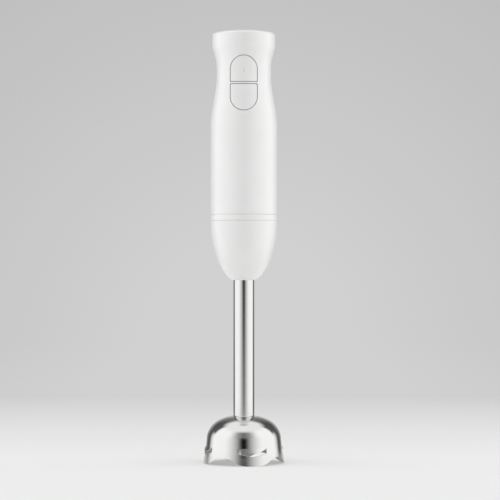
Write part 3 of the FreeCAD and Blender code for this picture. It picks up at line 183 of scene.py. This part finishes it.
def bump(nodes, shader, height, depth, edge=0.0):
    """Raise the surface by height, depth metres high, over edges rounded by edge metres."""
    node = nodes.add("ShaderNodeBump", height=height, distance=depth, strength=1.0)
    if edge:
        rounded = nodes.add("ShaderNodeBevel", samples=4, radius=edge)
        nodes.tree.links.new(rounded.outputs[0], node.inputs["Normal"])
    link(nodes, node.outputs[0], shader, "Normal")


# ---------------------------------------------------------------- finishes

PARTING_HALF_WIDTH = 0.13 * MM


def parting_line(nodes):
    """1 along the joint of the two handle shells, 0 elsewhere."""
    place = nodes.add("ShaderNodeSeparateXYZ", vector=nodes.coordinates()).outputs
    beside = nodes.math("LESS_THAN", nodes.math("ABSOLUTE", place["Y"]), PARTING_HALF_WIDTH)
    return nodes.math("MULTIPLY", beside, nodes.math("GREATER_THAN", place["Z"], SHELL_LOW.z))


def moulded(name, colour, roughness, grain=0.4 * MM, depth=0.004 * MM, edge=0.0, tint=0.97,
            speckle=None, coat=0.0, parted=False):
    """A moulded plastic or rubber: fine grain, cloudy gloss and a faint change of shade."""
    material, nodes, shader = new_material(name)
    cloud = nodes.noise(30 * MM)
    shade = tuple(channel * tint for channel in colour)
    tone = nodes.mix(nodes.ramp(cloud, [(0.35, 0.0), (0.65, 1.0)]), colour, shade)
    fine = nodes.noise(grain, detail=2.0)
    if speckle:
        dots = nodes.ramp(nodes.noise(grain * 0.6), [(0.66, 0.0), (0.72, 1.0)])
        tone = nodes.mix(nodes.math("MULTIPLY", dots, 0.5), tone, speckle)
    if parted:
        tone = nodes.mix(parting_line(nodes), tone, tuple(channel * 0.3 for channel in colour))
    link(nodes, tone, shader, "Base Color")
    gloss = nodes.math("ADD", nodes.spread(fine, -0.04, 0.04), nodes.spread(cloud, -0.03, 0.03))
    link(nodes, nodes.math("ADD", gloss, roughness), shader, "Roughness")
    shader.inputs["Coat Weight"].default_value = coat
    shader.inputs["Coat Roughness"].default_value = 0.12
    bump(nodes, shader, fine, depth, edge)
    return material


def inward(nodes):
    """1 where a surface faces the object's upright axis, 0 elsewhere."""
    spot = nodes.add("ShaderNodeNewGeometry").outputs
    across = nodes.add("ShaderNodeVectorMath", operation="MULTIPLY")
    nodes.tree.links.new(spot["Position"], across.inputs[0])
    across.inputs[1].default_value = (1.0, 1.0, 0.0)
    unit = nodes.add("ShaderNodeVectorMath", operation="NORMALIZE")
    nodes.tree.links.new(across.outputs["Vector"], unit.inputs[0])
    facing = nodes.add("ShaderNodeVectorMath", operation="DOT_PRODUCT")
    nodes.tree.links.new(unit.outputs["Vector"], facing.inputs[0])
    nodes.tree.links.new(spot["True Normal"], facing.inputs[1])
    return nodes.add("ShaderNodeMapRange", value=facing.outputs["Value"], from_min=-0.1,
                     from_max=0.0, to_min=1.0, to_max=0.0).outputs[0]


RIM_FADE = (6.0 * MM, 14.0 * MM)


def metal(name, colour, roughness, lines=(1.0, 1.0, 1.0), line=0.12 * MM, depth=0.0006 * MM,
          tint=0.9, smudge=0.03, anisotropy=0.0, inner=None, rim=0.0):
    """A metal with fine polishing or drawing lines and faint smudges.

    inner is (colour, added roughness) for the inside, rim the roughness added near the floor.
    """
    material, nodes, shader = new_material(name)
    fine = nodes.noise(line, stretch=lines, detail=2.0)
    cloud = nodes.noise(14 * MM, detail=4.0)
    shade = tuple(channel * tint for channel in colour)
    streaks = nodes.ramp(fine, [(0.35, 0.0), (0.7, 1.0)])
    tone = nodes.mix(nodes.math("MULTIPLY", streaks, 0.35), colour, shade)
    gloss = nodes.math("ADD", nodes.spread(fine, -0.02, 0.02),
                       nodes.spread(nodes.ramp(cloud, [(0.4, 0.0), (0.7, 1.0)]), 0.0, smudge))
    gloss = nodes.math("ADD", gloss, roughness)
    if inner:
        inside = inward(nodes)
        tone = nodes.mix(inside, tone, inner[0])
        gloss = nodes.math("ADD", gloss, nodes.math("MULTIPLY", inside, inner[1]))
    if rim:
        level = nodes.add("ShaderNodeSeparateXYZ", vector=nodes.coordinates()).outputs["Z"]
        low = nodes.add("ShaderNodeMapRange", value=level, from_min=RIM_FADE[0],
                        from_max=RIM_FADE[1], to_min=rim, to_max=0.0).outputs[0]
        gloss = nodes.math("ADD", gloss, low)
    link(nodes, tone, shader, "Base Color")
    link(nodes, gloss, shader, "Roughness")
    shader.inputs["Metallic"].default_value = 1.0
    shader.inputs["Anisotropic"].default_value = anisotropy
    bump(nodes, shader, fine, depth)
    return material


def laminated(name, colour, sheet):
    """A stack of thin steel sheets, seen from the side."""
    material, nodes, shader = new_material(name)
    bands = nodes.add("ShaderNodeTexWave", vector=nodes.coordinates(), scale=1.0 / (sheet * 20),
                      bands_direction="Z", distortion=0.4).outputs["Fac"]
    edge = nodes.ramp(bands, [(0.1, 0.25), (0.4, 1.0)])
    link(nodes, nodes.mix(edge, tuple(c * 0.3 for c in colour), colour), shader, "Base Color")
    link(nodes, nodes.spread(nodes.noise(1.5 * MM), 0.35, 0.55), shader, "Roughness")
    shader.inputs["Metallic"].default_value = 1.0
    bump(nodes, shader, bands, 0.02 * MM)
    return material


def wound(name, colour):
    """Enamelled wire, laid side by side, with painted shade darkening the grooves between the
    turns.
    """
    material, nodes, shader = new_material(name)
    turns = nodes.add("ShaderNodeTexWave", vector=nodes.coordinates(), scale=1.0 / (10 * MM),
                      bands_direction="DIAGONAL", distortion=1.2).outputs["Fac"]
    # Painted shade: the colour darkens towards each groove between the turns, where the bump
    # sinks.
    tone = nodes.mix(nodes.ramp(turns, [(0.0, 0.0), (0.6, 1.0)]),
                     tuple(c * 0.35 for c in colour), colour)
    link(nodes, tone, shader, "Base Color")
    link(nodes, nodes.spread(nodes.noise(0.8 * MM), 0.2, 0.4), shader, "Roughness")
    shader.inputs["Metallic"].default_value = 1.0
    bump(nodes, shader, turns, 0.12 * MM)
    return material


def board(name):
    """Green solder mask over copper tracks, with tinned pads."""
    material, nodes, shader = new_material(name)
    place = nodes.coordinates()
    tracks = nodes.add("ShaderNodeTexBrick", vector=place, scale=1.0 / (9 * MM), mortar_size=0.05,
                       offset=0.37, squash=1.6).outputs["Fac"]
    pads = nodes.add("ShaderNodeTexVoronoi", vector=place, scale=1.0 / (3.2 * MM),
                     randomness=0.35).outputs["Distance"]
    tinned = nodes.ramp(pads, [(0.16, 1.0), (0.2, 0.0)])
    mask = nodes.mix(nodes.noise(6 * MM), (0.01, 0.13, 0.05), (0.02, 0.19, 0.08))
    tone = nodes.mix(nodes.math("MULTIPLY", tracks, 0.7), mask, (0.05, 0.32, 0.13))
    link(nodes, nodes.mix(tinned, tone, (0.72, 0.72, 0.7)), shader, "Base Color")
    link(nodes, tinned, shader, "Metallic")
    link(nodes, nodes.spread(tinned, 0.32, 0.22), shader, "Roughness")
    bump(nodes, shader, nodes.math("ADD", tracks, tinned), 0.03 * MM)
    return material


def cell_sleeve(name, colour):
    """Shrunk sleeve of a battery cell: glossy, with faint rings where it shrank."""
    material, nodes, shader = new_material(name)
    rings = nodes.noise(2.5 * MM, stretch=(0.15, 0.15, 1.0))
    band = nodes.mix(nodes.ramp(rings, [(0.3, 0.0), (0.7, 1.0)]), colour,
                     tuple(c * 0.8 for c in colour))
    link(nodes, band, shader, "Base Color")
    link(nodes, nodes.spread(nodes.noise(5 * MM), 0.2, 0.34), shader, "Roughness")
    bump(nodes, shader, rings, 0.03 * MM)
    return material


def spangled(name, colour):
    """Zinc-plated steel with faint crystal grains."""
    material, nodes, shader = new_material(name)
    grains = nodes.add("ShaderNodeTexVoronoi", vector=nodes.coordinates(),
                       scale=1.0 / (2.2 * MM)).outputs["Color"]
    grey = nodes.add("ShaderNodeRGBToBW", color=grains).outputs[0]
    link(nodes, nodes.mix(grey, colour, tuple(c * 0.82 for c in colour)), shader, "Base Color")
    link(nodes, nodes.spread(grey, 0.26, 0.42), shader, "Roughness")
    shader.inputs["Metallic"].default_value = 1.0
    bump(nodes, shader, nodes.noise(0.3 * MM), 0.003 * MM)
    return material


ROUND = (0.02, 0.02, 1.0)
ALONG = (0.05, 1.0, 1.0)
EDGE = 0.25 * MM
FINISHES = {
    "white_shell": moulded("finish_white_shell", (0.9, 0.9, 0.895), 0.26, edge=EDGE, coat=0.15,
                           parted=True),
    "white_button": moulded("finish_white_button", (0.89, 0.89, 0.885), 0.33, grain=0.25 * MM,
                            edge=EDGE),
    "mark_grey": moulded("finish_mark_grey", (0.8, 0.8, 0.8), 0.4, grain=0.2 * MM),
    "white_silicone": moulded("finish_white_silicone", (0.8, 0.8, 0.79), 0.55, grain=0.3 * MM,
                              depth=0.006 * MM, edge=EDGE),
    "polished_steel": metal("finish_polished_steel", (0.68, 0.68, 0.67), 0.1, lines=ROUND,
                            anisotropy=0.25, inner=((0.62, 0.62, 0.61), 0.25), rim=0.12),
    "blade_steel": metal("finish_blade_steel", (0.72, 0.72, 0.73), 0.24, lines=ALONG,
                         depth=0.002 * MM),
    "spring_steel": metal("finish_spring_steel", (0.55, 0.55, 0.56), 0.3, line=0.06 * MM),
    "motor_steel": spangled("finish_motor_steel", (0.66, 0.67, 0.69)),
    "core_steel": laminated("finish_core_steel", (0.45, 0.45, 0.47), 0.5 * MM),
    "magnet_ferrite": moulded("finish_magnet_ferrite", (0.035, 0.035, 0.038), 0.6,
                              depth=0.02 * MM, speckle=(0.09, 0.09, 0.1)),
    "copper": wound("finish_copper", (0.86, 0.42, 0.22)),
    "sintered_bronze": moulded("finish_sintered_bronze", (0.5, 0.33, 0.14), 0.5, grain=0.2 * MM,
                               depth=0.02 * MM, tint=0.85, speckle=(0.2, 0.12, 0.05)),
    "carbon": moulded("finish_carbon", (0.02, 0.02, 0.021), 0.5, grain=0.15 * MM,
                      speckle=(0.06, 0.06, 0.065)),
    "black_nylon": moulded("finish_black_nylon", (0.018, 0.018, 0.019), 0.42,
                           speckle=(0.05, 0.05, 0.052)),
    "grey_nylon": moulded("finish_grey_nylon", (0.27, 0.27, 0.28), 0.42, tint=0.92,
                          speckle=(0.36, 0.36, 0.37)),
    "seal_rubber": moulded("finish_seal_rubber", (0.03, 0.03, 0.031), 0.6, grain=0.3 * MM,
                           depth=0.01 * MM),
    "cell_case": cell_sleeve("finish_cell_case", (0.03, 0.16, 0.42)),
    "nickel_strip": metal("finish_nickel_strip", (0.68, 0.65, 0.58), 0.22, lines=ALONG),
    "circuit_board": board("finish_circuit_board"),
    "switch_body": moulded("finish_switch_body", (0.02, 0.02, 0.022), 0.38, grain=0.3 * MM,
                           speckle=(0.05, 0.05, 0.05)),
    "lead_sleeve": moulded("finish_lead_sleeve", (0.5, 0.02, 0.02), 0.35, grain=0.5 * MM),
}

for node in NODES.values():
    for slot in node.material_slots:
        slot.material = FINISHES[slot.material.name]


# ---------------------------------------------------------------- added pieces

def mesh_object(name, mesh, material):
    """A smooth object from a bmesh, with one material."""
    data = bpy.data.meshes.new(name)
    mesh.to_mesh(data)
    mesh.free()
    for face in data.polygons:
        face.use_smooth = True
    made = bpy.data.objects.new(name, data)
    made.data.materials.append(material)
    SCENE.collection.objects.link(made)
    return made


def join_loops(mesh, near, far):
    """Faces between two closed loops of vertices; a vertex met twice in a face counts once."""
    for i, corner in enumerate(near):
        j = (i + 1) % len(near)
        mesh.faces.new(list(dict.fromkeys([corner, far[i], far[j], near[j]])))


def mesh_piece(name, mesh, slot):
    """A new piece of the object, with the finish of one of the record's slots."""
    piece = mesh_object(name, mesh, FINISHES[slot])
    return piece


def turned_piece(name, profile, body, slot, steps=96):
    """A ring: a closed profile of (radius, height) points turned about the object's axis."""
    mesh = bmesh.new()
    rows = []
    for step in range(steps):
        angle = 2 * math.pi * step / steps
        rows.append([mesh.verts.new((r * math.cos(angle), r * math.sin(angle), z))
                     for r, z in profile])
    for near, far in zip(rows, rows[1:] + rows[:1]):
        join_loops(mesh, near, far)
    bmesh.ops.recalc_face_normals(mesh, faces=mesh.faces)
    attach(mesh_piece(name, mesh, slot), body)


QUARTER_TURN = [math.pi / 2 * step / 8 for step in range(9)]


def weld_bead():
    """The bead where the tube meets the bell: a hollow curve from one to the other."""
    reach, sink = 0.4 * MM, 0.25 * MM
    inner, outer = TUBE_RADIUS - sink, TUBE_RADIUS + reach
    top = SHOULDER + reach
    curve = [(outer - reach * math.sin(turn), top - reach * math.cos(turn))
             for turn in QUARTER_TURN]
    profile = curve + [(inner, top), (inner, SHOULDER - sink), (outer, SHOULDER - sink)]
    turned_piece("weld_bead", profile, "attachment", "polished_steel")


def seam_rings():
    """Pale rings just inside the two joints beside the lock collar, which keep them shallow."""
    depth, thickness = 0.15 * MM, 0.8 * MM
    gap, play = 0.3 * MM, 0.02 * MM
    outer = SHELL_HIGH.x - depth
    inner = outer - thickness
    collar_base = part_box("lock_collar")[0].z
    for name, top in (("seam_ring_low", collar_base), ("seam_ring_high", SHELL_LOW.z)):
        profile = [(inner, top - gap + play), (outer, top - gap + play), (outer, top - play),
                   (inner, top - play)]
        turned_piece(name, profile, "lock_collar", "white_shell")


def return_spring(button, turns=5, wire=0.25 * MM, sides=8, steps=24):
    """A coil from the guide plate to the back of a button's cap."""
    node = f"button_spring_{button}"
    low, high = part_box(node)
    middle = (low + high) / 2
    coil = (high.x - low.x) / 2 - wire
    length = high.y - low.y - 2 * wire
    mesh = bmesh.new()
    loops = []
    for step in range(turns * steps + 1):
        share = step / (turns * steps)
        angle = 2 * math.pi * turns * share
        loop = []
        for side in range(sides):
            tilt = 2 * math.pi * side / sides
            reach = coil + wire * math.cos(tilt)
            loop.append(mesh.verts.new((middle.x + reach * math.cos(angle),
                                        high.y - wire - length * share + wire * math.sin(tilt),
                                        middle.z + reach * math.sin(angle))))
        loops.append(loop)
    for near, far in zip(loops, loops[1:]):
        join_loops(mesh, near, far)
    mesh.faces.new(loops[0])
    mesh.faces.new(list(reversed(loops[-1])))
    bmesh.ops.recalc_face_normals(mesh, faces=mesh.faces)
    piece = mesh_piece(f"return_spring_{button}", mesh, "spring_steel")
    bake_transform(piece)
    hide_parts(node)


weld_bead()
seam_rings()
return_spring("high")
return_spring("low")


# ---------------------------------------------------------------- stage, light and camera

# Tones of the floor and the backdrop, then their sizes and fades in metres.
FLOOR_PALE = 0.93
FLOOR_GLOW = 0.88
FLOOR_EVEN = 0.4
BACKDROP_TONE = 0.635
# BACKDROP_DIM with DIM_START and DIM_END sets the painted shade that darkens the backdrop's grey
# away from its middle.
BACKDROP_DIM = 0.82
FLOOR_RING = 0.3
FLOOR_REACH = 0.5
BACKDROP_REACH = 3.0
BACKDROP_HEIGHT = 3.0
COVE_RADIUS = 0.6
FLOOR_GAP = 0.05 * MM
FADE_START, FADE_END = 0.05, 0.85
DIM_START, DIM_END = 0.2, 0.95


def stage_material():
    """Pale floor round the object, which turns into a grey behind it and further out; painted
    shade dims that grey away from its middle.
    """
    material, nodes, shader = new_material("stage_surface")
    place = nodes.tree.nodes.new("ShaderNodeTexCoord").outputs["Object"]
    parts = nodes.add("ShaderNodeSeparateXYZ", vector=place).outputs
    radius = nodes.add("ShaderNodeVectorMath", operation="LENGTH")
    nodes.tree.links.new(place, radius.inputs[0])
    mottle = nodes.spread(nodes.noise(120 * MM), 0.985, 1.0)
    pale = nodes.mix(1.0, (FLOOR_PALE, FLOOR_PALE, FLOOR_PALE * 0.995), mottle, "MULTIPLY")
    link(nodes, pale, shader, "Base Color")
    shader.inputs["Roughness"].default_value = 0.7
    raised = nodes.add("ShaderNodeCombineXYZ", x=parts["X"], z=parts["Z"]).outputs[0]
    offset = nodes.add("ShaderNodeVectorMath", operation="LENGTH")
    nodes.tree.links.new(raised, offset.inputs[0])
    # Painted shade: the backdrop's grey darkens by BACKDROP_DIM between DIM_START and DIM_END away
    # from the middle.
    tone = nodes.add("ShaderNodeMapRange", value=offset.outputs["Value"], from_min=DIM_START,
                     from_max=DIM_END, to_min=BACKDROP_TONE,
                     to_max=BACKDROP_TONE * BACKDROP_DIM).outputs[0]
    glow = nodes.add("ShaderNodeEmission", color=tone)
    behind = nodes.add("ShaderNodeMapRange", value=parts["Y"], from_min=FADE_START,
                       from_max=FADE_END).outputs[0]
    around = nodes.add("ShaderNodeMapRange", value=radius.outputs["Value"], from_min=FADE_END / 2,
                       from_max=2 * FADE_END).outputs[0]
    pale_glow = nodes.add("ShaderNodeEmission", color=(FLOOR_GLOW,) * 3 + (1.0,))
    near = nodes.add("ShaderNodeMixShader", fac=FLOOR_EVEN)
    mixed = nodes.add("ShaderNodeMixShader", fac=nodes.math("MAXIMUM", behind, around))
    for mixer, first, second in ((near, shader, pale_glow), (mixed, near, glow)):
        nodes.tree.links.new(first.outputs[0], mixer.inputs[1])
        nodes.tree.links.new(second.outputs[0], mixer.inputs[2])
    output = [n for n in nodes.tree.nodes if n.type == "OUTPUT_MATERIAL"][0]
    nodes.tree.links.new(mixed.outputs[0], output.inputs[0])
    return material


def stage_part(name, profile, material, steps=96):
    """Part of the stage: an open profile of (radius, height) points turned about the axis.

    The stage stays under the bell, so a handle that comes off is seen lifted off its attachment.
    """
    mesh = bmesh.new()
    rings = []
    for radius, level in profile:
        rings.append([mesh.verts.new((radius * math.cos(a), radius * math.sin(a), level))
                      for a in (2 * math.pi * s / steps for s in range(steps))])
    if profile[0][0] == 0:
        bmesh.ops.remove_doubles(mesh, verts=rings[0], dist=MM)
        centre = [v for v in rings[0] if v.is_valid][0]
        rings[0] = [centre] * steps
    for near, far in zip(rings, rings[1:]):
        join_loops(mesh, near, far)
    part = mesh_object(name, mesh, material)
    part.parent = frame["bodies"]["attachment"]
    part.matrix_parent_inverse = part.parent.matrix_world.inverted()
    return part


def build_stage():
    surface = stage_material()
    level = CAD_LOW.z - FLOOR_GAP
    stage_part("stage_floor", [(0.0, level), (FLOOR_RING, level), (FLOOR_REACH, level)], surface)
    cove = [(BACKDROP_REACH - COVE_RADIUS + COVE_RADIUS * math.sin(turn),
             level + COVE_RADIUS - COVE_RADIUS * math.cos(turn)) for turn in QUARTER_TURN]
    curve = [(FLOOR_REACH, level)] + cove + [(BACKDROP_REACH, BACKDROP_HEIGHT)]
    backdrop = stage_part("stage_backdrop", curve, surface)
    for ray in ("diffuse", "glossy", "transmission", "volume_scatter", "shadow"):
        setattr(backdrop, f"visible_{ray}", False)


# The light round the object: (angle from straight in front, in degrees, brightness).
LOW_LIGHT = [(0, 0.0), (5, 0.01), (11, 0.16), (20, 0.52), (33, 0.86), (45, 1.12), (57, 1.3),
             (105, 1.34), (116, 1.0), (128, 0.15), (140, 0.1), (155, 0.36), (180, 0.6)]
GROUND_LIGHT = [(0, 0.3), (11, 0.42), (22, 0.66), (45, 1.15), (57, 1.3), (105, 1.34), (116, 0.7),
                (128, 0.12), (145, 0.1), (180, 0.6)]
MIDDLE_LIGHT = [(0, 0.2), (20, 0.42), (45, 1.2), (57, 1.34), (104, 1.34), (114, 0.12), (150, 0.1),
                (180, 0.3)]
OVERHEAD_LIGHT = 1.15
# Where one ring of light turns into the next, as the upward part of a direction; downward for
# the ground.
GROUND_FADE = (0.02, 0.07)
MIDDLE_FADE = (0.26, 0.42)
OVERHEAD_FADE = (0.72, 0.86)
# The side panels' power in watts, their size, place and aim, and the camera's lens in millimetres.
SIDE_POWER = 2.6
SIDE_PANEL = (1.0, 1.2)
SIDE_PLACE = (1.35, 0.36, 0.6)
SIDE_AIM = (0.0, 0.0, 0.2)
CAMERA_LENS = 155.66
CAMERA_PLACE = (0.0054, -1.9, CAD_LOW.z + 0.492 * HEIGHT)


def build_world():
    """Large soft lights left and right, a dim front and back, and a soft light overhead."""
    world = bpy.data.worlds.new("studio")
    SCENE.world = world
    world.use_nodes = True
    nodes = Nodes(world.node_tree)
    way = nodes.tree.nodes.new("ShaderNodeTexCoord").outputs["Generated"]
    parts = nodes.add("ShaderNodeSeparateXYZ", vector=way).outputs
    flat = nodes.add("ShaderNodeCombineXYZ", x=parts["X"], y=parts["Y"]).outputs[0]
    unit = nodes.add("ShaderNodeVectorMath", operation="NORMALIZE")
    nodes.tree.links.new(flat, unit.inputs[0])
    across = nodes.add("ShaderNodeSeparateXYZ", vector=unit.outputs[0]).outputs["Y"]
    turn = nodes.math("DIVIDE", nodes.math("ARCCOSINE", nodes.math("MULTIPLY", across, -1.0)),
                      math.pi)
    ground, low, middle = [nodes.ramp(turn, [(angle / 180, light / 2) for angle, light in stops])
                           for stops in (GROUND_LIGHT, LOW_LIGHT, MIDDLE_LIGHT)]
    downwards = nodes.math("MULTIPLY", parts["Z"], -1.0)
    dip, lift, overhead = [nodes.ramp(height, [(start, 0.0), (end, 1.0)])
                           for height, (start, end) in ((downwards, GROUND_FADE),
                                                        (parts["Z"], MIDDLE_FADE),
                                                        (parts["Z"], OVERHEAD_FADE))]
    round_about = nodes.mix(lift, nodes.mix(dip, low, ground), middle)
    tone = nodes.mix(overhead, round_about, (OVERHEAD_LIGHT / 2,) * 3)
    light = nodes.add("ShaderNodeBackground", color=tone, strength=2.0)
    nodes.add("ShaderNodeOutputWorld", surface=light.outputs[0])


def build_side_lights():
    """Two soft panels beside the object, which light it but never show in its reflections."""
    for side in (-1, 1):
        lamp = bpy.data.lights.new(f"side_light_{side}", "AREA")
        lamp.shape = "RECTANGLE"
        lamp.size, lamp.size_y = SIDE_PANEL
        lamp.energy = SIDE_POWER
        panel = bpy.data.objects.new(lamp.name, lamp)
        panel.location = Vector((SIDE_PLACE[0] * side, *SIDE_PLACE[1:]))
        aim = Vector(SIDE_AIM) - panel.location
        panel.rotation_euler = aim.to_track_quat("-Z", "Y").to_euler()
        panel.visible_glossy = False
        panel.visible_camera = False
        SCENE.collection.objects.link(panel)


def build_camera():
    """A level camera in front of the object, a little below its middle."""
    lens = bpy.data.cameras.new("camera")
    lens.lens = CAMERA_LENS
    lens.sensor_width = 36.0
    lens.clip_start = 0.05
    camera = bpy.data.objects.new("camera", lens)
    camera.location = Vector(CAMERA_PLACE)
    camera.rotation_euler = (math.pi / 2, 0.0, 0.0)
    SCENE.collection.objects.link(camera)
    SCENE.camera = camera


build_stage()
build_world()
build_side_lights()
build_camera()
SCENE.view_settings.view_transform = "Standard"
